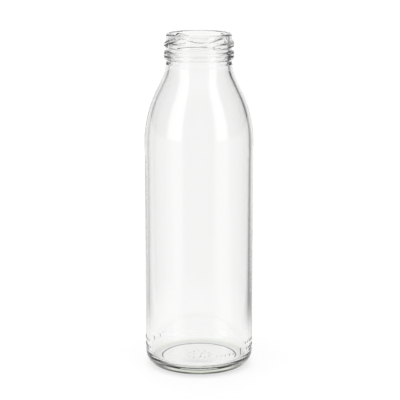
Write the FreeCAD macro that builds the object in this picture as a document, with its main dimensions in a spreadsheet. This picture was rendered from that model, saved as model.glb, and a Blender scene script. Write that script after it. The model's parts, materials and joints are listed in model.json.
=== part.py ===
import FreeCAD, Part
import math
import os

import Sketcher

# Moulded glass milk bottle with a four-lug twist-off finish, all in millimetres.
# The axis is +Z and the origin is the centre of the ring that the bottle stands on.
# The real bottle is a single piece of glass, so the model is one sub-part, glass_bottle.

NODE = "glass_bottle"

DIMENSIONS = {
    # Overall
    "height": 208.0,
    "body_radius": 33.5,
    "body_wall": 2.6,
    # Base
    "heel_radius": 8.6,
    "bearing_inner_radius": 23.9,
    "recess_radius": 22.4,
    "recess_height": 0.7,
    "floor_edge": 5.6,
    "floor_middle": 6.4,
    "inner_heel_radius": 4.0,
    # Shoulder and neck
    "shoulder_start": 141.1,
    "shoulder_radius": 71.5,
    "shoulder_angle": 25.5,
    "neck_radius": 20.3,
    "neck_arc_radius": 17.3,
    # Finish: the groove below the collar, the two-beaded collar and the lip
    "neck_top": 189.4,
    "groove_radius": 19.8,
    "groove_low": 190.6,
    "groove_high": 192.0,
    "collar_radius": 21.05,
    "collar_low": 192.6,
    "bead_height": 2.3,
    "bead_arc_radius": 2.3,
    "collar_top": 197.5,
    "finish_radius": 20.0,
    "bore_radius": 17.8,
    "lip_outer_round": 1.2,
    "lip_inner_round": 0.8,
    # Lugs: each falls from its high end, then runs level to its low end
    "lug_count": 4,
    "lug_crest_radius": 21.35,
    "lug_level": 201.1,
    "lug_rise": 3.9,
    "lug_sweep": 114.0,
    "lug_ramp": 50.0,
    "lug_root_width": 3.2,
    "lug_crest_width": 1.3,
    "lug_end_taper": 11.0,
    "lug_first_azimuth": -42.0,
}

SHEET = "Dims"
BEADS = 2
SECTIONS_PER_LUG = 20
LUG_ROOT_DEPTH = 0.9
# Share of the full section that is left at the two ends of a lug
LUG_END_SHARE = 0.15
# How far the cut for the hollow runs past the lip
CUT_OVERRUN = 1.0
# The hollow is far the larger part of the turned solid
MOST_GLASS_LEFT = 0.5
LEVEL_TOLERANCE = 0.01
RADIUS_TOLERANCE = 0.1
# How a sketch names its own origin and its vertical axis
ORIGIN = (-1, 1)
V_AXIS = -2


def make_sheet(doc):
    """Writes one aliased cell for each driving dimension."""
    sheet = doc.addObject("Spreadsheet::Sheet", SHEET)
    for row, (alias, value) in enumerate(DIMENSIONS.items(), start=1):
        cell = "B%d" % row
        sheet.set(cell, str(value))
        sheet.setAlias(cell, alias)
    doc.recompute()
    return sheet


def origin_item(body, role):
    """Finds a plane or axis of a body's own origin by its role."""
    return [item for item in body.Origin.OriginFeatures if item.Role == role][0]


class Outline:
    """A closed chain of lines and arcs in a sketch on the body's XZ plane."""

    def __init__(self, body, name):
        self.sketch = body.newObject("Sketcher::SketchObject", name)
        self.sketch.AttachmentSupport = [(origin_item(body, "XZ_Plane"), "")]
        self.sketch.MapMode = "FlatFace"
        self.links = []

    def line(self, start, end):
        """Adds a straight piece and returns its number."""
        points = [FreeCAD.Vector(x, z, 0) for x, z in (start, end)]
        return self.add(Part.LineSegment(*points), 1, 2)

    def arc(self, centre, radius, from_deg, to_deg):
        """Adds an arc, drawn from the first angle to the second, and returns its number."""
        circle = Part.Circle(FreeCAD.Vector(centre[0], centre[1], 0), FreeCAD.Vector(0, 0, 1), radius)
        low, high = sorted((from_deg, to_deg))
        shape = Part.ArcOfCircle(circle, math.radians(low), math.radians(high))
        if from_deg < to_deg:
            return self.add(shape, 1, 2)
        return self.add(shape, 2, 1)

    def add(self, shape, start, end):
        number = self.sketch.addGeometry(shape, False)
        self.links.append((number, start, end))
        return number

    def join(self, smooth=()):
        """Closes the chain; a piece in smooth meets the next one at a tangent."""
        for place, (number, _, end) in enumerate(self.links):
            following, start, _ = self.links[(place + 1) % len(self.links)]
            kind = "Tangent" if number in smooth else "Coincident"
            self.sketch.addConstraint(Sketcher.Constraint(kind, number, end, following, start))

    def start_of(self, number):
        return [(link[0], link[1]) for link in self.links if link[0] == number][0]

    def end_of(self, number):
        return [(link[0], link[2]) for link in self.links if link[0] == number][0]

    def upright(self, *numbers):
        for number in numbers:
            self.sketch.addConstraint(Sketcher.Constraint("Vertical", number))

    def level(self, *numbers):
        for number in numbers:
            self.sketch.addConstraint(Sketcher.Constraint("Horizontal", number))

    def on_axis(self, *points):
        for number, vertex in points:
            self.sketch.addConstraint(Sketcher.Constraint("PointOnObject", number, vertex, V_AXIS))

    def bind(self, constraint, name, formula):
        """Adds a dimension and ties it to the sheet."""
        index = self.sketch.addConstraint(constraint)
        self.sketch.renameConstraint(index, name)
        self.sketch.setExpression("Constraints." + name, formula)

    def place_x(self, point, name, formula, value):
        self.bind(Sketcher.Constraint("DistanceX", *ORIGIN, *point, value), name, formula)

    def place_z(self, point, name, formula, value):
        self.bind(Sketcher.Constraint("DistanceY", *ORIGIN, *point, value), name, formula)

    def radius(self, number, name, formula, value):
        self.bind(Sketcher.Constraint("Radius", number, value), name, formula)

    def slant(self, number, name, formula, value):
        """Sets the direction of a line, measured from the sketch's horizontal axis."""
        self.bind(Sketcher.Constraint("Angle", number, math.radians(value)), name, formula)


def cell(alias):
    return "%s.%s" % (SHEET, alias)


def dome_radius(radius, low, high):
    """Radius of the arc, centred on the axis, that rises from low at radius to high at the axis."""
    rise = high - low
    return (radius * radius + rise * rise) / (2 * rise)


def shoulder_points(wall, big_radius, neck, small_radius):
    """Where the slope of the shoulder starts and ends, and the centre of the neck's arc."""
    d = DIMENSIONS
    angle = math.radians(d["shoulder_angle"])
    low = (wall - big_radius * (1 - math.cos(angle)), d["shoulder_start"] + big_radius * math.sin(angle))
    high_x = neck + small_radius * (1 - math.cos(angle))
    high = (high_x, low[1] + (low[0] - high_x) / math.tan(angle))
    return low, high, (neck + small_radius, high[1] + small_radius * math.sin(angle))


def draw_beads(out):
    """The rounded beads of the collar, the lowest one first."""
    d = DIMENSIONS
    half_bead = d["bead_height"] / 2
    depth = math.sqrt(d["bead_arc_radius"] ** 2 - half_bead ** 2)
    turn = math.degrees(math.asin(half_bead / d["bead_arc_radius"]))
    beads = []
    for number in range(BEADS):
        middle = d["collar_low"] + half_bead + number * d["bead_height"]
        centre = (d["collar_radius"] - depth, middle)
        beads.append(out.arc(centre, d["bead_arc_radius"], -turn, turn))
    return beads


def bind_beads(out, beads):
    """Ties every bead to the cells of the collar."""
    d = DIMENSIONS
    for number, bead in enumerate(beads):
        out.radius(bead, "bead_%d" % number, cell("bead_arc_radius"), d["bead_arc_radius"])
        out.place_x(out.start_of(bead), "bead_%d_edge" % number, cell("collar_radius"),
                    d["collar_radius"])
        low = "%s + %d * %s" % (cell("collar_low"), number, cell("bead_height"))
        out.place_z(out.start_of(bead), "bead_%d_low" % number, low,
                    d["collar_low"] + number * d["bead_height"])


def outer_outline(body):
    """The whole outside of the bottle, without its lugs, back to the axis."""
    d = DIMENSIONS
    out = Outline(body, "outer_outline")
    turn = d["shoulder_angle"]
    bearing = d["body_radius"] - d["heel_radius"]

    recess = out.line((0, d["recess_height"]), (d["recess_radius"], d["recess_height"]))
    ramp = out.line((d["recess_radius"], d["recess_height"]), (d["bearing_inner_radius"], 0))
    ring = out.line((d["bearing_inner_radius"], 0), (bearing, 0))
    heel = out.arc((bearing, d["heel_radius"]), d["heel_radius"], -90, 0)
    side = out.line((d["body_radius"], d["heel_radius"]), (d["body_radius"], d["shoulder_start"]))

    shoulder_centre = (d["body_radius"] - d["shoulder_radius"], d["shoulder_start"])
    shoulder = out.arc(shoulder_centre, d["shoulder_radius"], 0, turn)
    slope_start, slope_end, neck_centre = shoulder_points(
        d["body_radius"], d["shoulder_radius"], d["neck_radius"], d["neck_arc_radius"])
    slope = out.line(slope_start, slope_end)
    neck = out.arc(neck_centre, d["neck_arc_radius"], 180 + turn, 180)

    throat = out.line((d["neck_radius"], neck_centre[1]), (d["neck_radius"], d["neck_top"]))
    groove_in = out.line((d["neck_radius"], d["neck_top"]), (d["groove_radius"], d["groove_low"]))
    groove = out.line((d["groove_radius"], d["groove_low"]), (d["groove_radius"], d["groove_high"]))
    underside = out.line((d["groove_radius"], d["groove_high"]), (d["collar_radius"], d["collar_low"]))
    beads = draw_beads(out)
    collar_end = (d["collar_radius"], d["collar_low"] + BEADS * d["bead_height"])
    topside = out.line(collar_end, (d["finish_radius"], d["collar_top"]))
    finish = out.line((d["finish_radius"], d["collar_top"]), (d["finish_radius"], d["height"]))
    top = out.line((d["finish_radius"], d["height"]), (0, d["height"]))
    out.line((0, d["height"]), (0, d["recess_height"]))

    out.join(smooth=(ring, heel, side, shoulder, slope, neck))
    out.upright(side, throat, groove, finish)
    out.level(recess, ring, top)
    out.on_axis(out.start_of(recess), out.end_of(top))
    out.place_z(out.start_of(recess), "recess_height", cell("recess_height"), d["recess_height"])
    out.place_x(out.start_of(ramp), "recess", cell("recess_radius"), d["recess_radius"])
    out.place_x(out.start_of(ring), "bearing_inner", cell("bearing_inner_radius"),
                d["bearing_inner_radius"])
    out.place_z(out.start_of(ring), "standing_level", "0", 0.0)
    out.radius(heel, "heel", cell("heel_radius"), d["heel_radius"])
    out.place_x(out.start_of(side), "body", cell("body_radius"), d["body_radius"])
    out.place_z(out.end_of(side), "shoulder_start", cell("shoulder_start"), d["shoulder_start"])
    out.radius(shoulder, "shoulder", cell("shoulder_radius"), d["shoulder_radius"])
    out.slant(slope, "shoulder_slope", "90 deg + %s * 1 deg" % cell("shoulder_angle"), 90 + turn)
    out.radius(neck, "neck_arc", cell("neck_arc_radius"), d["neck_arc_radius"])
    out.place_x(out.start_of(throat), "neck", cell("neck_radius"), d["neck_radius"])
    out.place_z(out.end_of(throat), "neck_top", cell("neck_top"), d["neck_top"])
    out.place_x(out.start_of(groove), "groove", cell("groove_radius"), d["groove_radius"])
    out.place_z(out.start_of(groove), "groove_low", cell("groove_low"), d["groove_low"])
    out.place_z(out.end_of(groove), "groove_high", cell("groove_high"), d["groove_high"])
    bind_beads(out, beads)
    out.place_x(out.start_of(topside), "collar", cell("collar_radius"), d["collar_radius"])
    out.place_z(out.start_of(topside), "collar_high",
                "%s + %d * %s" % (cell("collar_low"), BEADS, cell("bead_height")), collar_end[1])
    out.place_x(out.start_of(finish), "finish", cell("finish_radius"), d["finish_radius"])
    out.place_z(out.start_of(finish), "collar_top", cell("collar_top"), d["collar_top"])
    out.place_z(out.start_of(top), "height", cell("height"), d["height"])
    return out.sketch


def inner_shoulder_formula():
    """Radius of the inner shoulder arc that thins the wall from the body's to the neck's."""
    cosine = "cos(%s * 1 deg)" % cell("shoulder_angle")
    outer = cell("shoulder_radius")
    neck_wall = "(%s - %s)" % (cell("neck_radius"), cell("bore_radius"))
    return "(%s - %s - (%s - %s) * %s) / (1 - %s)" % (
        outer, neck_wall, outer, cell("body_wall"), cosine, cosine)


def inner_outline(body):
    """The hollow of the bottle, from its floor up through the mouth."""
    d = DIMENSIONS
    out = Outline(body, "inner_outline")
    turn = d["shoulder_angle"]
    wall = d["body_radius"] - d["body_wall"]
    floor_radius = wall - d["inner_heel_radius"]
    neck_wall = d["neck_radius"] - d["bore_radius"]
    neck_arc = d["neck_arc_radius"] + neck_wall
    overrun = d["height"] + CUT_OVERRUN

    dome = dome_radius(floor_radius, d["floor_edge"], d["floor_middle"])
    dome_edge = math.degrees(math.acos(floor_radius / dome))
    floor = out.arc((0, d["floor_middle"] - dome), dome, 90, dome_edge)
    corner_level = d["floor_edge"] + d["inner_heel_radius"]
    corner = out.arc((floor_radius, corner_level), d["inner_heel_radius"], -90, 0)
    side = out.line((wall, corner_level), (wall, d["shoulder_start"]))
    cosine = math.cos(math.radians(turn))
    arc_radius = d["shoulder_radius"] - neck_wall - (d["shoulder_radius"] - d["body_wall"]) * cosine
    arc_radius /= 1 - cosine
    shoulder_centre = (wall - arc_radius, d["shoulder_start"])
    shoulder = out.arc(shoulder_centre, arc_radius, 0, turn)
    slope_start, slope_end, neck_centre = shoulder_points(wall, arc_radius, d["bore_radius"], neck_arc)
    slope = out.line(slope_start, slope_end)
    neck = out.arc(neck_centre, neck_arc, 180 + turn, 180)
    bore = out.line((d["bore_radius"], neck_centre[1]), (d["bore_radius"], overrun))
    top = out.line((d["bore_radius"], overrun), (0, overrun))
    out.line((0, overrun), (0, d["floor_middle"]))

    out.join(smooth=(corner, side, shoulder, slope, neck))
    out.upright(side, bore)
    out.level(top)
    out.on_axis(out.start_of(floor), (floor, 3), out.end_of(top))
    out.place_z(out.start_of(floor), "floor_middle", cell("floor_middle"), d["floor_middle"])
    out.place_z(out.end_of(floor), "floor_edge", cell("floor_edge"), d["floor_edge"])
    out.sketch.addConstraint(Sketcher.Constraint("Vertical", corner, 3, *out.start_of(corner)))
    out.radius(corner, "corner", cell("inner_heel_radius"), d["inner_heel_radius"])
    out.place_x(out.start_of(side), "inner_wall", "%s - %s" % (cell("body_radius"), cell("body_wall")),
                wall)
    out.place_z(out.end_of(side), "shoulder_start", cell("shoulder_start"), d["shoulder_start"])
    out.radius(shoulder, "shoulder", inner_shoulder_formula(), arc_radius)
    out.slant(slope, "shoulder_slope", "90 deg + %s * 1 deg" % cell("shoulder_angle"), 90 + turn)
    wider_arc = "%s + %s - %s" % (cell("neck_arc_radius"), cell("neck_radius"), cell("bore_radius"))
    out.radius(neck, "neck_arc", wider_arc, neck_arc)
    out.place_x(out.start_of(bore), "bore", cell("bore_radius"), d["bore_radius"])
    out.place_z(out.start_of(top), "overrun", "%s + %s" % (cell("height"), CUT_OVERRUN), overrun)
    return out.sketch


def rim_edge_name(shape, radius, level):
    """Name of the round edge of the given radius that lies flat at the given height."""
    for index, edge in enumerate(shape.Edges, start=1):
        box = edge.BoundBox
        flat = abs(box.ZMin - level) < LEVEL_TOLERANCE and abs(box.ZMax - level) < LEVEL_TOLERANCE
        if flat and abs(box.XMax - radius) < RADIUS_TOLERANCE:
            return "Edge%d" % index
    raise RuntimeError("no round edge of radius %.2f at height %.2f" % (radius, level))


def turned(body, kind, name, sketch):
    """Turns an outline about the bottle's axis, to add or to remove glass."""
    feature = body.newObject(kind, name)
    feature.Profile = sketch
    feature.ReferenceAxis = (sketch, ["V_Axis"])
    feature.Angle = 360
    sketch.Visibility = False
    return feature


def rounded(doc, body, name, base, edge_radius, size):
    """Rounds one edge of the lip by the size in the named cell."""
    fillet = body.newObject("PartDesign::Fillet", name)
    edge = rim_edge_name(base.Shape, edge_radius, DIMENSIONS["height"])
    fillet.Base = (base, [edge])
    fillet.Radius = DIMENSIONS[size]
    fillet.setExpression("Radius", cell(size))
    doc.recompute()
    return fillet


def make_shell(doc):
    """The bottle's turned glass: outside, hollow and rounded lip."""
    body = doc.addObject("PartDesign::Body", "shell")
    turned(body, "PartDesign::Revolution", "outside", outer_outline(body))
    doc.recompute()
    solid_volume = body.Shape.Volume
    hollow = turned(body, "PartDesign::Groove", "hollow", inner_outline(body))
    doc.recompute()
    if body.Shape.Volume > MOST_GLASS_LEFT * solid_volume:
        raise RuntimeError("the hollow removed too little glass")
    outer = rounded(doc, body, "lip_outside", hollow, DIMENSIONS["finish_radius"], "lip_outer_round")
    rounded(doc, body, "lip_inside", outer, DIMENSIONS["bore_radius"], "lip_inner_round")
    return body


def lug_section(sheet, turn):
    """Cross-section of a lug, turn degrees clockwise of its high end, as a closed wire."""
    share = min(turn / sheet.lug_ramp, 1.0)
    fall = share * share * (3 - 2 * share)
    level = sheet.lug_level + sheet.lug_rise * (1 - fall)
    to_end = min(turn, sheet.lug_sweep - turn)
    reach = min(to_end / sheet.lug_end_taper, 1.0)
    size = LUG_END_SHARE + (1 - LUG_END_SHARE) * math.sqrt(1 - (1 - reach) ** 2)
    root = sheet.finish_radius - LUG_ROOT_DEPTH
    crest = sheet.finish_radius + (sheet.lug_crest_radius - sheet.finish_radius) * size
    half_root = sheet.lug_root_width / 2 * size
    half_crest = sheet.lug_crest_width / 2 * size
    corners = [(root, level - half_root), (sheet.finish_radius, level - half_root),
               (crest, level - half_crest), (crest, level + half_crest),
               (sheet.finish_radius, level + half_root), (root, level + half_root)]
    azimuth = math.radians(-turn)
    points = [FreeCAD.Vector(radius * math.cos(azimuth), radius * math.sin(azimuth), height)
              for radius, height in corners]
    return Part.makePolygon(points + points[:1])


def make_lugs(doc, sheet):
    """The lugs, evenly spaced; each rises counter-clockwise seen from above."""
    steps = [sheet.lug_sweep * index / (SECTIONS_PER_LUG - 1) for index in range(SECTIONS_PER_LUG)]
    shape = Part.makeLoft([lug_section(sheet, turn) for turn in steps], True, False)
    lugs = []
    for number in range(int(sheet.lug_count)):
        lug = doc.addObject("Part::Feature", "lug_%d" % (number + 1))
        lug.Shape = shape
        azimuth = sheet.lug_first_azimuth - 90 + number * 360 / sheet.lug_count
        lug.Placement = FreeCAD.Placement(FreeCAD.Vector(0, 0, 0), FreeCAD.Vector(0, 0, 1), azimuth)
        lugs.append(lug)
    return lugs


def make_bottle(doc, sheet):
    """Joins the turned glass and its lugs into the one moulded piece."""
    bottle = doc.addObject("Part::MultiFuse", NODE)
    bottle.Label = NODE
    bottle.Shapes = [make_shell(doc)] + make_lugs(doc, sheet)
    bottle.Refine = True
    doc.recompute()
    return bottle


def check(doc, bottle):
    """Stops if an object failed or the bottle isn't one sound solid."""
    for item in doc.Objects:
        if "Invalid" in item.State or "Error" in item.State:
            raise RuntimeError("%s failed: %s" % (item.Name, item.State))
        if item.isDerivedFrom("Sketcher::SketchObject") and not item.FullyConstrained:
            raise RuntimeError("%s is not fully constrained" % item.Name)
    shape = bottle.Shape
    if shape.isNull() or not shape.isValid() or len(shape.Solids) != 1:
        raise RuntimeError("%s is not one valid solid" % bottle.Label)


def main():
    doc = FreeCAD.newDocument("milk_bottle")
    sheet = make_sheet(doc)
    bottle = make_bottle(doc, sheet)
    check(doc, bottle)
    os.makedirs("parts", exist_ok=True)
    bottle.Shape.exportStep("parts/%s.step" % bottle.Label)
    box = bottle.Shape.optimalBoundingBox()
    print("%s: %.2f x %.2f x %.2f mm, glass %.1f ml" % (
        bottle.Label, box.XLength, box.YLength, box.ZLength, bottle.Shape.Volume / 1000))


main()
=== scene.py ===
import json
import math

import bpy
import numpy as np
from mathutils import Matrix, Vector


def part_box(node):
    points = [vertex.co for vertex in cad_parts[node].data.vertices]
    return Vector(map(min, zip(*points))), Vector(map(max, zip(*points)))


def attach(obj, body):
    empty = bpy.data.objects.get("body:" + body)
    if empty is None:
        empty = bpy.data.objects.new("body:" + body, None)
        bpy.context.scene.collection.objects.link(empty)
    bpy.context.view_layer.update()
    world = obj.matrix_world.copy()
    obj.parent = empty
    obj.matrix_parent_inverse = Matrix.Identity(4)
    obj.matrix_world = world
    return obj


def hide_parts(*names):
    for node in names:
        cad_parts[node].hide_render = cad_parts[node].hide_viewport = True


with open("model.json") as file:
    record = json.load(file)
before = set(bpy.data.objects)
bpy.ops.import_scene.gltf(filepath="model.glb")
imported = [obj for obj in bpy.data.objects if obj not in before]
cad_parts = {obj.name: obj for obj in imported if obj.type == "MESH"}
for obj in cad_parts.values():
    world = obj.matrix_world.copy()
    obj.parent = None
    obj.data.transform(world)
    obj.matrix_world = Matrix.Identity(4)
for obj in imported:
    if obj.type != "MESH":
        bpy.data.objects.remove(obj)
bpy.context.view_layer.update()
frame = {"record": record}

MM = 0.001
NODE = "glass_bottle"
BODY = "root"


def mount(name):
    """One of the record's mounts, by name."""
    return next(item for item in frame["record"]["mounts"] if item["name"] == name)


# Sizes in millimetres and angles in degrees. The overall sizes come from the frame.
TOP_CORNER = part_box(NODE)[1]
HEIGHT = TOP_CORNER.z / MM
BODY_RADIUS = TOP_CORNER.x / MM
BORE_RADIUS = mount("mouth_bore")["dims"]["r_mm"]
WALL = 2.6

# Label panel: how deep it lies, where it starts and ends, and half the length of its edges
PANEL_RECESS = 0.18
PANEL_LOW = 10.5
PANEL_HIGH = 136.5
PANEL_EASE = 3.0

# Base: rounded heel, stippled standing ring, flat recess, and the floor inside
HEEL_RADIUS = 8.6
BEARING_INNER = 23.9
STIPPLE_HEIGHT = 0.14
RECESS_RADIUS = 22.4
RECESS_HEIGHT = 0.7
FLOOR_EDGE = 5.6
FLOOR_MIDDLE = 6.4
INNER_HEEL = 4.0

# Shoulder and neck: a large arc, a straight slope and a small arc
SHOULDER_START = 141.1
SHOULDER_ARC = 71.5
SHOULDER_ANGLE = 25.5
NECK_RADIUS = 20.3
NECK_ARC = 17.3
NECK_TOP = 189.4

# Finish: groove, collar of two beads, plain ring and lip
GROOVE_RADIUS = 19.8
GROOVE_LOW = 190.6
GROOVE_HIGH = 192.0
COLLAR_RADIUS = 21.05
COLLAR_LOW = 192.6
BEAD_HEIGHT = 2.3
BEAD_ARC = 2.3
COLLAR_TOP = 197.5
FINISH_RADIUS = 20.0
LIP_OUTER = 1.5
LIP_INNER = 0.6

# Lugs: how many, azimuth of the first one's high end, and how far a crest stands out
LUG_COUNT = 4
LUG_FIRST = -42.0
LUG_CREST = 1.35

# Level of a lug's low end and rise to its high end; turn of the whole lug, of its slope and of
# each tapered end; half its width at root and crest, and the share of the root left at the very end
LUG_LEVEL = 201.1
LUG_RISE = 3.9
LUG_SWEEP = 114.0
LUG_RAMP = 50.0
LUG_TAPER = 11.0
LUG_HALF_ROOT = 1.9
LUG_HALF_CREST = 0.9
LUG_END_WIDTH = 0.35

# Rings round the heel, as level and height
HEEL_RINGS = [(3.4, 0.08), (1.4, 0.20), (6.4, 0.04)]
HEEL_RING_WIDTH = 0.45

# Seams left and right, and the levels over which they fade in
SEAM_HEIGHT = 0.03
SEAM_WIDTH = 0.35
SEAM_FADE = (2.0, 5.0)

# The body's relief lies above this level, and ends on the shoulder at this radius
RELIEF_LOW = 1.0
RELIEF_INNER = 25.1

# Waves of the inner wall, as height, number round the bottle, level per radian and first phase
WALL_WAVES = [(0.08, 1, 90.0, 0.6), (0.03, 2, 47.0, 0.0), (0.012, 3, -29.0, 1.1)]
WAVES_RISE = (8.6, 19.6)
WAVES_FALL = (176.0, 190.0)

# Settle marks, fine rings where the inner wall meets the floor
SETTLE_HEIGHT = 0.05
SETTLE_PITCH = 1.5
SETTLE_RISE = (5.2, 6.2)
SETTLE_FALL = (7.0, 9.0)

# The lathe: steps in a turn, how far they are drawn to the seams, and when two points are one
SEGMENTS = 240
SEAM_CROWDING = 0.35
MERGE_DISTANCE = 0.01

# Points nearer the axis than this take no relief, and edges bent further than this stay crisp
AXIS_CLEAR = 1.0
CREASE_ANGLE = 50

# Raised marks: sides of a pad, how far its foot is sunk, and its layers as shares of height and width
PAD_SIDES = 12
PAD_SINK = 0.35
PAD_LAYERS = [(0.0, 1.0), (0.7, 0.82), (1.0, 0.45)]
HEEL_SKIN = BODY_RADIUS - PANEL_RECESS
STANDING_RING = (BEARING_INNER + BODY_RADIUS - HEEL_RADIUS) / 2

# Glass: refraction, ripples of the skin, and the colour it gains with depth, per metre
GLASS_IOR = 1.52
RIPPLE_SIZE = 9.0
RIPPLE_HEIGHT = 0.001
DEPTH_TINT = "#D2D6CC"
DEPTH_DENSITY = 15.0

# The heel's tint: it fades in from the first level to the second, and from the first radius out
HEEL_TINT = "#EEF4E4"
HEEL_TINT_TOP = 5.5
HEEL_TINT_FULL = 2.5
HEEL_TINT_INNER = 27.0
HEEL_TINT_OUTER = 30.0

# Paper under the bottle; its contact shade is painted shade, a darker ring in its glow, darkest at one
# radius and ending at the other
FLOOR_HALF = 6000.0
FLOOR_GLOW = 0.80
CONTACT_SHADE = 0.22
CONTACT_DARKEST = 26.0
CONTACT_OUTER = 36.0

# Light round the bottle, as azimuth from the front and strength
WORLD_PEAK = 2.0
WORLD_ROUND = [
    (-90, 0.40), (-76, 0.40), (-70, 1.60), (-40, 1.60), (-34, 0.55),
    (34, 0.55), (41, 1.60), (62, 1.60), (68, 0.30), (100, 0.11),
    (142, 0.11), (156, 0.95), (204, 0.95), (218, 0.40), (270, 0.40),
]

# Light from above: its strength, and the heights on the unit sphere over which it fades in
CEILING_STRENGTH = 1.0
CEILING_RISE = (0.68, 0.82)

# Flags and reflectors on the paper: radii, level, strength near the bottle and strength by azimuth
FLAG_INNER = 60.0
FLAG_EASE = 160.0
FLAG_OUTER = 5900.0
FLAG_LEVEL = 1.0
FLAG_SIDES = 180
FLAG_NEAR = 0.985
FLAG_PEAK = 1.2
FLAG_ROUND = [
    (-90, 0.75), (-76, 0.75), (-70, 0.92), (-40, 0.92), (-32, 0.60),
    (32, 0.60), (42, 0.92), (66, 0.92), (72, 0.60), (100, 0.50),
    (142, 0.35), (156, 0.985), (204, 0.985), (218, 0.65), (270, 0.75),
]

# The camera's place, its pitch down, its lens and its sensor
CAMERA_SIDE = 0.6
CAMERA_DISTANCE = 887.4
CAMERA_HEIGHT = 298.1
CAMERA_PITCH = 12.3
CAMERA_LENS = 131.94
CAMERA_SENSOR = 36
CAMERA_CLIP = 10.0


# ---------------------------------------------------------------- outline

def ease(value, start, end):
    """Smooth step from 0 to 1."""
    share = np.clip((value - start) / (end - start), 0, 1)
    return share * share * (3 - 2 * share)


def run(start, end, steps):
    """Points along a straight stretch, without its end."""
    share = np.linspace(0, 1, steps, endpoint=False)[:, None]
    return np.array(start) + share * (np.array(end) - np.array(start))


def arc(centre, radius, start, stop, steps):
    """Points along an arc between two angles in degrees, without its end."""
    angle = np.radians(np.linspace(start, stop, steps, endpoint=False))
    return np.array(centre) + radius * np.stack([np.cos(angle), np.sin(angle)], 1)


def dome(edge_radius, edge_level, top_level, steps):
    """Points along a shallow dome, from its edge to its top on the axis, without the top."""
    rise = top_level - edge_level
    radius = (edge_radius ** 2 + rise ** 2) / (2 * rise)
    edge = math.degrees(math.acos(edge_radius / radius))
    return arc((0, top_level - radius), radius, edge, 90, steps)


def base_level(radius):
    """Level of the underside at a radius within the standing ring."""
    recess = RECESS_HEIGHT - STIPPLE_HEIGHT
    return STIPPLE_HEIGHT + recess * (1 - ease(radius, RECESS_RADIUS, BEARING_INNER))


def underside(steps):
    """Points along the recess, and steps up its ramp, from the axis to the standing ring."""
    flat = [0, RECESS_RADIUS / 3, RECESS_RADIUS * 2 / 3]
    ramp = np.linspace(RECESS_RADIUS, BEARING_INNER, steps, endpoint=False)
    radius = np.concatenate([flat, ramp])
    return np.stack([radius, base_level(radius)], 1)


def shoulder(base, start, big, turn, neck_radius, small):
    """Corner points of a shoulder: where its slope starts and ends, and the neck arc's centre."""
    angle = math.radians(turn)
    low = (base - big * (1 - math.cos(angle)), start + big * math.sin(angle))
    high_x = neck_radius + small * (1 - math.cos(angle))
    high = (high_x, low[1] + (low[0] - high_x) / math.tan(angle))
    return low, high, (neck_radius + small, high[1] + small * math.sin(angle))


def outside_points():
    """The outside, from the middle of the base up to the lip; each stretch ends with its steps."""
    heel = BODY_RADIUS - HEEL_RADIUS
    panel_low = PANEL_LOW + 2 * PANEL_EASE
    panel_high = PANEL_HIGH - PANEL_EASE
    low, high, centre = shoulder(BODY_RADIUS, SHOULDER_START, SHOULDER_ARC, SHOULDER_ANGLE,
                                 NECK_RADIUS, NECK_ARC)
    half = BEAD_HEIGHT / 2
    depth = math.sqrt(BEAD_ARC ** 2 - half ** 2)
    turn = math.degrees(math.asin(half / BEAD_ARC))
    collar_high = COLLAR_LOW + 2 * BEAD_HEIGHT
    lip = HEIGHT - LIP_OUTER
    pieces = [
        underside(10),
        run((BEARING_INNER, STIPPLE_HEIGHT), (heel, STIPPLE_HEIGHT), 4),
        arc((heel, HEEL_RADIUS), HEEL_RADIUS - STIPPLE_HEIGHT, -90, 0, 60),
        run((BODY_RADIUS, HEEL_RADIUS), (BODY_RADIUS, panel_low), 14),
        run((BODY_RADIUS, panel_low), (BODY_RADIUS, panel_high), 12),
        run((BODY_RADIUS, panel_high), (BODY_RADIUS, SHOULDER_START), 10),
        arc((BODY_RADIUS - SHOULDER_ARC, SHOULDER_START), SHOULDER_ARC, 0, SHOULDER_ANGLE, 24),
        run(low, high, 6),
        arc(centre, NECK_ARC, 180 + SHOULDER_ANGLE, 180, 10),
        run((NECK_RADIUS, centre[1]), (NECK_RADIUS, NECK_TOP), 3),
        run((NECK_RADIUS, NECK_TOP), (GROOVE_RADIUS, GROOVE_LOW), 3),
        run((GROOVE_RADIUS, GROOVE_LOW), (GROOVE_RADIUS, GROOVE_HIGH), 3),
        run((GROOVE_RADIUS, GROOVE_HIGH), (COLLAR_RADIUS, COLLAR_LOW), 3),
        arc((COLLAR_RADIUS - depth, COLLAR_LOW + half), BEAD_ARC, -turn, turn, 8),
        arc((COLLAR_RADIUS - depth, COLLAR_LOW + 3 * half), BEAD_ARC, -turn, turn, 8),
        run((COLLAR_RADIUS, collar_high), (FINISH_RADIUS, COLLAR_TOP), 4),
        run((FINISH_RADIUS, COLLAR_TOP), (FINISH_RADIUS, lip), 44),
        arc((FINISH_RADIUS - LIP_OUTER, lip), LIP_OUTER, 0, 90, 9),
    ]
    return np.vstack(pieces)


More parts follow.
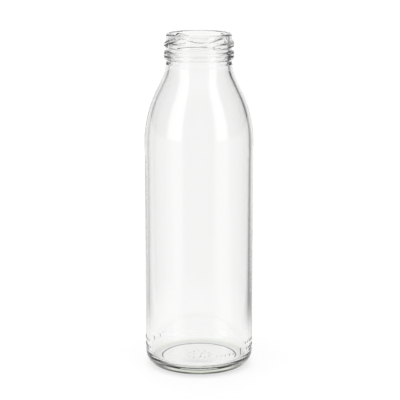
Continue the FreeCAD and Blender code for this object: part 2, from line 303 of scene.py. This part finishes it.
def inside_points():
    """The inside, from the lip down to the middle of the floor; each stretch ends with its steps."""
    wall = BODY_RADIUS - WALL
    neck_wall = NECK_RADIUS - BORE_RADIUS
    neck_arc = NECK_ARC + neck_wall
    cosine = math.cos(math.radians(SHOULDER_ANGLE))
    big_arc = (SHOULDER_ARC - neck_wall - (SHOULDER_ARC - WALL) * cosine) / (1 - cosine)
    low, high, centre = shoulder(wall, SHOULDER_START, big_arc, SHOULDER_ANGLE,
                                 BORE_RADIUS, neck_arc)
    corner_level = FLOOR_EDGE + INNER_HEEL
    floor = wall - INNER_HEEL
    mouth = HEIGHT - LIP_INNER
    pieces = [
        run((FINISH_RADIUS - LIP_OUTER, HEIGHT), (BORE_RADIUS + LIP_INNER, HEIGHT), 2),
        arc((BORE_RADIUS + LIP_INNER, mouth), LIP_INNER, 90, 180, 7),
        run((BORE_RADIUS, mouth), (BORE_RADIUS, centre[1]), 20),
        arc(centre, neck_arc, 180, 180 + SHOULDER_ANGLE, 12),
        run(high, low, 8),
        arc((wall - big_arc, SHOULDER_START), big_arc, SHOULDER_ANGLE, 0, 24),
        run((wall, SHOULDER_START), (wall, corner_level), 22),
        arc((floor, corner_level), INNER_HEEL, 0, -90, 24),
        dome(floor, FLOOR_EDGE, FLOOR_MIDDLE, 8),
        np.array([(0, FLOOR_MIDDLE)]),
    ]
    return np.vstack(pieces)


# ---------------------------------------------------------------- node trees

def add(tree, kind, links=None, **settings):
    """Adds a node, sets its own fields, and fills its inputs with values or other nodes' outputs."""
    node = tree.nodes.new(kind)
    for name, value in settings.items():
        setattr(node, name, value)
    for key, value in (links or {}).items():
        if isinstance(value, bpy.types.NodeSocket):
            tree.links.new(value, node.inputs[key])
        else:
            node.inputs[key].default_value = value
    return node


def maths(tree, operation, *values):
    """The result of a maths node."""
    return add(tree, "ShaderNodeMath", dict(enumerate(values)), operation=operation).outputs[0]


def smooth_share(tree, value, start, end):
    """The result of a smooth step node: 0 at start, 1 at end."""
    return add(tree, "ShaderNodeMapRange", {"Value": value, "From Min": start, "From Max": end},
               interpolation_type="SMOOTHSTEP").outputs[0]


def geometry_tree(name, inputs):
    """A geometry tree with named inputs; returns it with its group input and output nodes."""
    tree = bpy.data.node_groups.new(name, "GeometryNodeTree")
    tree.interface.new_socket("Geometry", in_out="INPUT", socket_type="NodeSocketGeometry")
    for label, kind, value in inputs:
        socket = tree.interface.new_socket(label, in_out="INPUT", socket_type=kind)
        if value is not None:
            socket.default_value = value
    tree.interface.new_socket("Geometry", in_out="OUTPUT", socket_type="NodeSocketGeometry")
    return tree, tree.nodes.new("NodeGroupInput").outputs, tree.nodes.new("NodeGroupOutput").inputs


def run_tree(obj, tree, values):
    """Runs a geometry tree on an object and returns the result as a plain mesh."""
    modifier = obj.modifiers.new(tree.name, "NODES")
    modifier.node_group = tree
    for item in tree.interface.items_tree:
        if item.item_type == "SOCKET" and item.in_out == "INPUT" and item.name in values:
            modifier[item.identifier] = values[item.name]
    bpy.context.view_layer.update()
    evaluated = obj.evaluated_get(bpy.context.evaluated_depsgraph_get())
    mesh = bpy.data.meshes.new_from_object(evaluated)
    obj.modifiers.remove(modifier)
    return mesh


def polar(tree, radius, angle, level):
    """A point at a radius, angle and level about the bottle's axis."""
    x = maths(tree, "MULTIPLY", radius, maths(tree, "COSINE", angle))
    y = maths(tree, "MULTIPLY", radius, maths(tree, "SINE", angle))
    return add(tree, "ShaderNodeCombineXYZ", {0: x, 1: y, 2: level}).outputs[0]


def sample(tree, geometry, value, index, kind):
    """A value held by one point of a geometry, by the point's index."""
    return add(tree, "GeometryNodeSampleIndex",
               {"Geometry": geometry, "Value": value, "Index": index},
               data_type=kind, domain="POINT").outputs[0]


def column_angle(tree, column, segments, crowding):
    """Angle of a column of the lathe: even steps, drawn together at the seams."""
    even = maths(tree, "MULTIPLY", maths(tree, "DIVIDE", column, segments), math.tau)
    swing = maths(tree, "SINE", maths(tree, "MULTIPLY", even, 2.0))
    pull = maths(tree, "MULTIPLY", crowding, -0.5)
    return maths(tree, "MULTIPLY_ADD", swing, pull, even)


def end_tree(tree, geometry, material, result):
    """Ends a geometry tree: real geometry, in its material."""
    real = add(tree, "GeometryNodeRealizeInstances", {0: geometry}).outputs[0]
    dressed = add(tree, "GeometryNodeSetMaterial",
                  {"Geometry": real, "Material": material}).outputs[0]
    tree.links.new(dressed, result)


def lathe_tree():
    """Turns an outline, given as the points of a mesh, into a closed solid about the Z axis."""
    tree, given, result = geometry_tree("turn about the axis", [
        ("Segments", "NodeSocketInt", SEGMENTS),
        ("Seam crowding", "NodeSocketFloat", SEAM_CROWDING),
        ("Merge", "NodeSocketFloat", MERGE_DISTANCE * MM),
        ("Material", "NodeSocketMaterial", None),
    ])
    outline = given["Geometry"]
    rings = add(tree, "GeometryNodeAttributeDomainSize", {0: outline}).outputs[0]
    columns = maths(tree, "ADD", given["Segments"], 1.0)
    grid = add(tree, "GeometryNodeMeshGrid",
               {"Vertices X": columns, "Vertices Y": rings}).outputs[0]

    index = add(tree, "GeometryNodeInputIndex").outputs[0]
    ring = maths(tree, "MODULO", index, rings)
    column = maths(tree, "FLOOR", maths(tree, "DIVIDE", index, rings))
    place = add(tree, "GeometryNodeInputPosition").outputs[0]
    flag = add(tree, "GeometryNodeInputNamedAttribute", {"Name": "outside"},
               data_type="FLOAT").outputs[0]
    side = sample(tree, outline, flag, ring, "FLOAT")
    point = add(tree, "ShaderNodeSeparateXYZ",
                {0: sample(tree, outline, place, ring, "FLOAT_VECTOR")}).outputs

    angle = column_angle(tree, column, given["Segments"], given["Seam crowding"])
    moved = add(tree, "GeometryNodeSetPosition",
                {"Geometry": grid, "Position": polar(tree, point[0], angle, point[2])}).outputs[0]
    marked = add(tree, "GeometryNodeStoreNamedAttribute",
                 {"Geometry": moved, "Name": "outside", "Value": side},
                 data_type="FLOAT", domain="POINT").outputs[0]
    closed = add(tree, "GeometryNodeMergeByDistance",
                 {"Geometry": marked, "Distance": given["Merge"]}).outputs[0]
    end_tree(tree, closed, given["Material"], result[0])
    return tree


def new_object(name, data):
    """A new object in the scene, with its mesh or camera."""
    obj = bpy.data.objects.new(name, data)
    bpy.context.scene.collection.objects.link(obj)
    return obj


# ---------------------------------------------------------------- relief of the mould

def band(level, rise, fall):
    """Grows from 0 to 1 over the first two levels, and falls back to 0 over the other two."""
    return ease(level, *rise) * (1 - ease(level, *fall))


def panel_depth(level):
    """How far the label panel lies below the two contact bands."""
    rise = (PANEL_LOW - PANEL_EASE, PANEL_LOW + PANEL_EASE)
    fall = (PANEL_HIGH - PANEL_EASE, PANEL_HIGH + PANEL_EASE)
    return PANEL_RECESS * band(level, rise, fall)


def one_lug(turn, level):
    """Height of one lug, at a turn in degrees from its high end."""
    centre = LUG_LEVEL + LUG_RISE * (1 - ease(turn, 0, LUG_RAMP))
    reach = np.clip(np.minimum(turn, LUG_SWEEP - turn) / LUG_TAPER, 0, 1)
    size = np.sqrt(1 - (1 - reach) ** 2)
    crest = LUG_HALF_CREST * size
    root = LUG_HALF_ROOT * (LUG_END_WIDTH + (1 - LUG_END_WIDTH) * size)
    flank = 1 - ease(np.abs(level - centre), crest, root)
    return np.where(turn < LUG_SWEEP, LUG_CREST * size * flank, 0)


def lug_height(azimuth, level):
    """How far the lugs stand out of the finish; one starts before the last has ended."""
    spacing = 360 / LUG_COUNT
    nearest = (LUG_FIRST - azimuth) % spacing
    return np.maximum(one_lug(nearest, level), one_lug(nearest + spacing, level))


def seam_height(azimuth, level):
    """The two lines, left and right, where the mould halves meet."""
    away = np.radians(np.abs(azimuth % 180 - 90)) * BODY_RADIUS
    return SEAM_HEIGHT * np.clip(1 - away / SEAM_WIDTH, 0, 1) * ease(level, *SEAM_FADE)


def heel_rings(level):
    """Low rings round the heel, where the base plate of the mould met its sides."""
    rings = np.zeros_like(level)
    for middle, height in HEEL_RINGS:
        rings += height * np.exp(-((level - middle) / HEEL_RING_WIDTH) ** 2)
    return rings


def mould_relief(radius, azimuth, level):
    """Relief of the outside: of the body, then none on neck and collar, then the lugs."""
    body = seam_height(azimuth, level) - panel_depth(level) + heel_rings(level)
    on_body = (level > RELIEF_LOW) & (radius > RELIEF_INNER)
    return np.where(level > COLLAR_TOP, lug_height(azimuth, level), np.where(on_body, body, 0))


def wall_waves(azimuth, level):
    """Slow waves that blowing leaves on the inner wall, and the settle marks at its foot."""
    turn = np.radians(azimuth)
    waves = np.zeros_like(level)
    for height, number, climb, phase in WALL_WAVES:
        waves += height * np.sin(number * turn + level / climb + phase)
    settle = SETTLE_HEIGHT * np.sin(math.tau * level / SETTLE_PITCH + np.sin(2 * turn))
    return (waves * band(level, WAVES_RISE, WAVES_FALL)
            + settle * band(level, SETTLE_RISE, SETTLE_FALL))


def shape_glass(mesh):
    """Moves the turned glass by the relief of the mould outside and the waves of blowing inside."""
    count = len(mesh.vertices)
    place = np.empty(count * 3)
    mesh.vertices.foreach_get("co", place)
    place = place.reshape(-1, 3) / MM
    outside = np.empty(count)
    mesh.attributes["outside"].data.foreach_get("value", outside)
    radius = np.hypot(place[:, 0], place[:, 1])
    azimuth = np.degrees(np.arctan2(place[:, 0], -place[:, 1]))
    level = place[:, 2]
    relief = np.where(outside > 0.5, mould_relief(radius, azimuth, level), wall_waves(azimuth, level))
    scale = np.where(radius > AXIS_CLEAR, (radius + relief) / np.maximum(radius, AXIS_CLEAR), 1)
    place[:, :2] *= scale[:, None]
    mesh.vertices.foreach_set("co", (place * MM).ravel())
    mesh.attributes.remove(mesh.attributes["outside"])
    mesh.update()


def outline_object():
    """The outline as loose points, flagged for the outside."""
    outside = outside_points()
    inside = inside_points()
    points = np.vstack([outside, inside]) * MM
    mesh = bpy.data.meshes.new("bottle_outline")
    mesh.from_pydata([(x, 0, z) for x, z in points], [], [])
    flag = mesh.attributes.new("outside", "FLOAT", "POINT")
    flag.data.foreach_set("value", [1.0] * len(outside) + [0.0] * len(inside))
    return new_object("bottle_outline", mesh)


# ---------------------------------------------------------------- raised marks

def marks_tree():
    """Sets copies of one raised mark round the axis, each turned to face outwards."""
    tree, given, result = geometry_tree("marks round the axis", [
        ("Count", "NodeSocketInt", 1),
        ("First angle", "NodeSocketFloat", 0.0),
        ("Step", "NodeSocketFloat", 0.1),
        ("Ring radius", "NodeSocketFloat", 0.01),
        ("Level", "NodeSocketFloat", 0.0),
        ("Lean", "NodeSocketFloat", 0.0),
        ("Material", "NodeSocketMaterial", None),
    ])
    line = add(tree, "GeometryNodeMeshLine", {"Count": given["Count"]}).outputs[0]
    index = add(tree, "GeometryNodeInputIndex").outputs[0]
    angle = maths(tree, "MULTIPLY_ADD", index, given["Step"], given["First angle"])
    place = polar(tree, given["Ring radius"], angle, given["Level"])
    points = add(tree, "GeometryNodeSetPosition", {"Geometry": line, "Position": place}).outputs[0]
    turn = add(tree, "ShaderNodeCombineXYZ", {1: given["Lean"], 2: angle}).outputs[0]
    copies = add(tree, "GeometryNodeInstanceOnPoints",
                 {"Points": points, "Instance": given["Geometry"], "Rotation": turn}).outputs[0]
    end_tree(tree, copies, given["Material"], result[0])
    return tree


def pad_rings(length, width, height):
    """Rings of points up a raised pad with round ends, which stands along X and is long along Z."""
    straight = max(length - width, 0) / 2
    turns = np.linspace(0, math.pi, PAD_SIDES // 2 + 1)
    layers = [(-PAD_SINK, 1.0)] + [(share * height, size) for share, size in PAD_LAYERS]
    rings = []
    for stand, size in layers:
        half = width / 2 * size
        upper = [(stand, half * math.cos(t), straight + half * math.sin(t)) for t in turns]
        lower = [(stand, -half * math.cos(t), -straight - half * math.sin(t)) for t in turns]
        rings.append(upper + lower if straight > 0 else upper[:-1] + lower[:-1])
    return rings


def pad_mesh(name, length, width, height):
    """A closed mesh of one raised pad, with its foot sunk below the skin."""
    rings = pad_rings(length, width, height)
    sides = len(rings[0])
    faces = [tuple(reversed(range(sides)))]
    for layer in range(len(rings) - 1):
        for side in range(sides):
            here = layer * sides + side
            following = layer * sides + (side + 1) % sides
            faces.append((here, following, following + sides, here + sides))
    faces.append(tuple(range((len(rings) - 1) * sides, len(rings) * sides)))
    mesh = bpy.data.meshes.new(name)
    mesh.from_pydata([Vector(point) * MM for ring in rings for point in ring], [], faces)
    return mesh


# name, length, width, height, count, first azimuth from the front, step, ring radius, level, and
# lean, which is 90 for a mark on the underside
MARKS = [
    ("standing_stipple", 0.9, 0.55, STIPPLE_HEIGHT, 96, 0.0, 3.75, STANDING_RING, STIPPLE_HEIGHT, 90),
    ("heel_dots_left_upper", 1.1, 1.1, 0.32, 5, -89.0, 5.0, HEEL_SKIN, 17.5, 0),
    ("heel_dots_left_lower", 1.1, 1.1, 0.32, 5, -86.5, 5.0, HEEL_SKIN, 13.5, 0),
    ("heel_bar_left", 2.6, 0.7, 0.22, 1, -56.3, 0.0, HEEL_SKIN, 21.5, 0),
    ("heel_bar_left_high", 2.2, 0.7, 0.22, 1, -46.1, 0.0, HEEL_SKIN, 24.4, 0),
    ("heel_dots_front", 1.3, 1.3, 0.34, 5, 19.5, 5.0, HEEL_SKIN, 13.2, 0),
    ("heel_bar_right", 4.4, 0.9, 0.30, 1, 50.3, 0.0, HEEL_SKIN, 13.5, 0),
    ("heel_dots_right_upper", 1.1, 1.1, 0.32, 5, 60.0, 5.0, HEEL_SKIN, 17.5, 0),
    ("heel_dots_right_lower", 1.1, 1.1, 0.32, 5, 62.5, 5.0, HEEL_SKIN, 13.5, 0),
    ("base_dots", 1.4, 0.8, 0.5, 12, 0.0, 30.0, 6.8, base_level(6.8), 90),
    ("base_bars", 2.6, 0.9, 0.5, 3, 15.0, 120.0, 3.2, base_level(3.2), 90),
]


def join(glass, pad):
    """Joins raised pads to the glass, so that the bottle stays one closed skin."""
    union = glass.modifiers.new(pad.name, "BOOLEAN")
    union.operation = "UNION"
    union.solver = "MANIFOLD"
    union.object = pad
    evaluated = glass.evaluated_get(bpy.context.evaluated_depsgraph_get())
    joined = bpy.data.meshes.new_from_object(evaluated)
    glass.modifiers.remove(union)
    glass.data = joined
    bpy.data.objects.remove(pad)


def add_marks(glass, tree, material):
    """Adds every raised mark to the glass."""
    for name, length, width, height, count, first, step, ring, level, lean in MARKS:
        pad = new_object(name, pad_mesh(name, length, width, height))
        pad.data = run_tree(pad, tree, {
            "Count": count,
            "First angle": math.radians(first - 90),
            "Step": math.radians(step),
            "Ring radius": ring * MM,
            "Level": level * MM,
            "Lean": math.radians(lean),
            "Material": material,
        })
        join(glass, pad)


def make_bottle():
    """The bottle: turned, then relieved by the mould, then marked."""
    material = clear_glass()
    glass = outline_object()
    glass.name = "bottle_glass"
    glass.data = run_tree(glass, lathe_tree(), {"Segments": SEGMENTS, "Material": material})
    shape_glass(glass.data)
    add_marks(glass, marks_tree(), material)
    glass.data.name = "bottle_glass"
    glass.data.shade_smooth()
    glass.data.set_sharp_from_angle(angle=math.radians(CREASE_ANGLE))
    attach(glass, BODY)
    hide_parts(NODE)


# ---------------------------------------------------------------- materials

def linear(hex_colour, alpha=1.0):
    """An sRGB hex colour as linear red, green, blue and alpha."""
    values = [int(hex_colour[place:place + 2], 16) / 255 for place in (1, 3, 5)]
    return [v / 12.92 if v <= 0.04045 else ((v + 0.055) / 1.055) ** 2.4 for v in values] + [alpha]


def grey(level):
    """A linear grey."""
    return level, level, level, 1


def blend(tree, share, first, second):
    """The result of a mix node: the first colour at 0, the second at 1."""
    return add(tree, "ShaderNodeMix", {"Factor": share, "A": first, "B": second},
               data_type="RGBA").outputs[2]


def new_material(name):
    """An empty node material, with its tree and its output node."""
    material = bpy.data.materials.new(name)
    material.use_nodes = True
    tree = material.node_tree
    tree.nodes.clear()
    return material, tree, tree.nodes.new("ShaderNodeOutputMaterial")


def object_place(tree):
    """The object's own coordinates."""
    return add(tree, "ShaderNodeTexCoord").outputs["Object"]


def distance(tree, place):
    """How far a place is from the object's origin."""
    return add(tree, "ShaderNodeVectorMath", {0: place}, operation="LENGTH").outputs["Value"]


def heel_share(tree, place):
    """How far a place is within the thick glass of the heel, from 0 to 1."""
    level = add(tree, "ShaderNodeSeparateXYZ", {0: place}).outputs[2]
    flat = add(tree, "ShaderNodeVectorMath", {0: place, 1: (1, 1, 0)}, operation="MULTIPLY").outputs[0]
    low = smooth_share(tree, level, HEEL_TINT_TOP * MM, HEEL_TINT_FULL * MM)
    outer = smooth_share(tree, distance(tree, flat), HEEL_TINT_INNER * MM, HEEL_TINT_OUTER * MM)
    return maths(tree, "MULTIPLY", low, outer)


def clear_glass():
    """Flint container glass, blown in a mould: clear and bright, faintly green where it is thick."""
    material, tree, output = new_material("flint_glass_blown_in_mould")
    place = object_place(tree)
    ripple = add(tree, "ShaderNodeTexNoise",
                 {"Vector": place, "Scale": 1 / (RIPPLE_SIZE * MM), "Detail": 1.0})
    bump = add(tree, "ShaderNodeBump", {"Height": ripple.outputs[0], "Strength": 1.0,
                                        "Distance": RIPPLE_HEIGHT * MM})
    glass = add(tree, "ShaderNodeBsdfPrincipled", {
        "Base Color": blend(tree, heel_share(tree, place), linear("#FFFFFF"), linear(HEEL_TINT)),
        "Roughness": 0.0,
        "IOR": GLASS_IOR,
        "Transmission Weight": 1.0,
        "Normal": bump.outputs[0],
    })
    depth = add(tree, "ShaderNodeVolumeAbsorption",
                {"Color": linear(DEPTH_TINT), "Density": DEPTH_DENSITY})
    tree.links.new(glass.outputs[0], output.inputs["Surface"])
    tree.links.new(depth.outputs[0], output.inputs["Volume"])
    return material


def painted_shade_share(tree):
    """How strong the painted contact shade is, from 0 to 1: a soft ring outside the standing ring."""
    away = distance(tree, object_place(tree))
    outer = smooth_share(tree, away, CONTACT_OUTER * MM, CONTACT_DARKEST * MM)
    inner = smooth_share(tree, away, BEARING_INNER * MM, CONTACT_DARKEST * MM)
    return maths(tree, "MULTIPLY", outer, inner)


def studio_paper():
    """Seamless studio paper: matt white, with a painted contact shade that makes it a little darker
    where the heel all but touches it.
    """
    material, tree, output = new_material("studio_paper_matt")
    # The glow dims in a ring round the heel: painted shade, not a shadow cast by the bottle
    glow = maths(tree, "MULTIPLY_ADD", painted_shade_share(tree), -CONTACT_SHADE * FLOOR_GLOW, FLOOR_GLOW)
    paper = add(tree, "ShaderNodeBsdfPrincipled", {
        "Base Color": linear("#8C8C8C"),
        "Roughness": 0.9,
        "Specular IOR Level": 0.1,
        "Emission Color": linear("#FFFFFF"),
        "Emission Strength": glow,
    })
    tree.links.new(paper.outputs[0], output.inputs["Surface"])
    return material


def round_ramp(tree, place, stops, peak):
    """Strength by azimuth about the bottle, as a share of the peak, from a list of stops."""
    turn = add(tree, "ShaderNodeTexGradient", {"Vector": place}, gradient_type="RADIAL").outputs[1]
    ramp = add(tree, "ShaderNodeValToRGB", {0: turn})
    elements = ramp.color_ramp.elements
    for index, (azimuth, strength) in enumerate(stops):
        position = (azimuth + 90) / 360
        element = elements[index] if index < 2 else elements.new(position)
        element.position = position
        element.color = grey(strength / peak)
    return ramp.outputs[0]


def flag_light():
    """Light of the flags and reflectors: white paper near the bottle, by azimuth further out."""
    material, tree, output = new_material("studio_flags")
    place = object_place(tree)
    share = smooth_share(tree, distance(tree, place), FLAG_INNER * MM, FLAG_EASE * MM)
    colour = blend(tree, share, grey(FLAG_NEAR / FLAG_PEAK),
                   round_ramp(tree, place, FLAG_ROUND, FLAG_PEAK))
    light = add(tree, "ShaderNodeEmission", {0: colour, 1: FLAG_PEAK})
    tree.links.new(light.outputs[0], output.inputs["Surface"])
    return material


# ---------------------------------------------------------------- stage, light and camera

def make_floor():
    """The studio floor, level with the bottle's standing ring."""
    corners = [(-1, -1), (1, -1), (1, 1), (-1, 1)]
    points = [(x * FLOOR_HALF * MM, y * FLOOR_HALF * MM, 0) for x, y in corners]
    mesh = bpy.data.meshes.new("floor")
    mesh.from_pydata(points, [], [(0, 1, 2, 3)])
    mesh.materials.append(studio_paper())
    floor = new_object("floor", mesh)


def ring_mesh(name, radii, level, sides):
    """A flat ring about the axis, in metres, facing up."""
    turns = [math.tau * index / sides for index in range(sides)]
    points = [(radius * math.cos(t), radius * math.sin(t), level) for radius in radii for t in turns]
    faces = [(index, (index + 1) % sides, (index + 1) % sides + sides, index + sides)
             for index in range(sides)]
    mesh = bpy.data.meshes.new(name)
    mesh.from_pydata(points, [], faces)
    return mesh


def make_flags():
    """Flags and reflectors round the bottle, just above the paper, that only the glass sees."""
    radii = (FLAG_INNER * MM, FLAG_OUTER * MM)
    mesh = ring_mesh("studio_flags", radii, FLAG_LEVEL * MM, FLAG_SIDES)
    mesh.materials.append(flag_light())
    flags = new_object("studio_flags", mesh)
    flags.visible_camera = False
    flags.visible_diffuse = False
    flags.visible_shadow = False


def make_world():
    """Studio light by azimuth: open behind, two tall softboxes in front, darker between and beside."""
    world = bpy.data.worlds.new("studio")
    bpy.context.scene.world = world
    world.use_nodes = True
    tree = world.node_tree
    place = add(tree, "ShaderNodeTexCoord").outputs["Generated"]
    height = add(tree, "ShaderNodeSeparateXYZ", {0: place}).outputs[2]
    colour = blend(tree, smooth_share(tree, height, *CEILING_RISE),
                   round_ramp(tree, place, WORLD_ROUND, WORLD_PEAK),
                   grey(CEILING_STRENGTH / WORLD_PEAK))
    background = tree.nodes["Background"]
    tree.links.new(colour, background.inputs["Color"])
    background.inputs["Strength"].default_value = WORLD_PEAK


def make_camera():
    """A long lens in front of the bottle, looking slightly down on it."""
    data = bpy.data.cameras.new("camera")
    data.lens = CAMERA_LENS
    data.sensor_width = CAMERA_SENSOR
    data.clip_start = CAMERA_CLIP * MM
    camera = new_object("camera", data)
    camera.location = Vector((CAMERA_SIDE, -CAMERA_DISTANCE, CAMERA_HEIGHT)) * MM
    camera.rotation_euler = (math.radians(90 - CAMERA_PITCH), 0, 0)
    bpy.context.scene.camera = camera


bpy.context.scene.view_settings.view_transform = "Standard"
make_camera()
make_world()
make_floor()
make_flags()
make_bottle()
